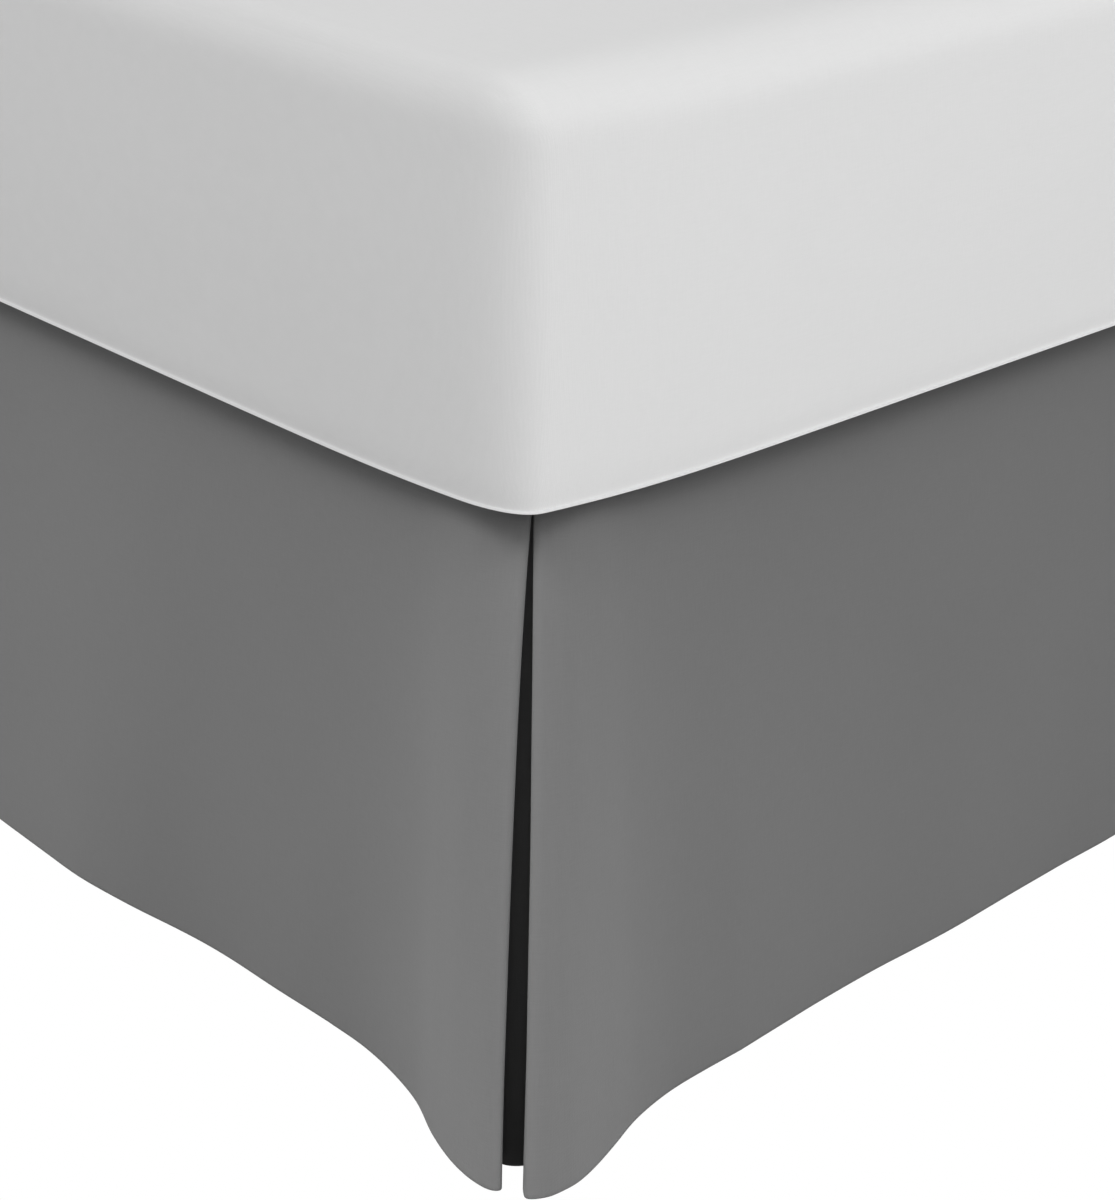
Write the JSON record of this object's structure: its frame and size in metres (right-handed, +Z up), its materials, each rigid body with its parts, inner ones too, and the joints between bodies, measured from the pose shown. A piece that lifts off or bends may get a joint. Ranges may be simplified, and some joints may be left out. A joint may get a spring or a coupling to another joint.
{
  "type": "bed skirt on a bed",
  "caption": "Tailored grey bed skirt with inverted corner pleats, hanging between the mattress and the legged base of a bed.",
  "frame": {"origin": "on the floor, under the middle of the whole object", "axes": "+Z up, +Y towards the head of the bed, +X towards its right side seen from the foot"},
  "size_m": [1.6138, 2.0648, 0.595],
  "materials": {
    "skirt_cloth": "matte fine woven",
    "deck_cloth": "matte plain woven",
    "mattress_cloth": "soft matte",
    "base_cloth": "matte",
    "leg_wood": "satin"
  },
  "bodies": {
    "root": {"foot_drop": "skirt_cloth", "side_drop_right": "skirt_cloth", "side_drop_left": "skirt_cloth", "pleat_insert_right": "skirt_cloth", "pleat_insert_left": "skirt_cloth", "skirt_deck": "deck_cloth", "mattress": "mattress_cloth", "bed_base": "base_cloth", "leg_foot_right": "leg_wood", "leg_foot_left": "leg_wood", "leg_middle_right": "leg_wood", "leg_middle_left": "leg_wood", "leg_head_right": "leg_wood", "leg_head_left": "leg_wood"}
  },
  "joints": []
}
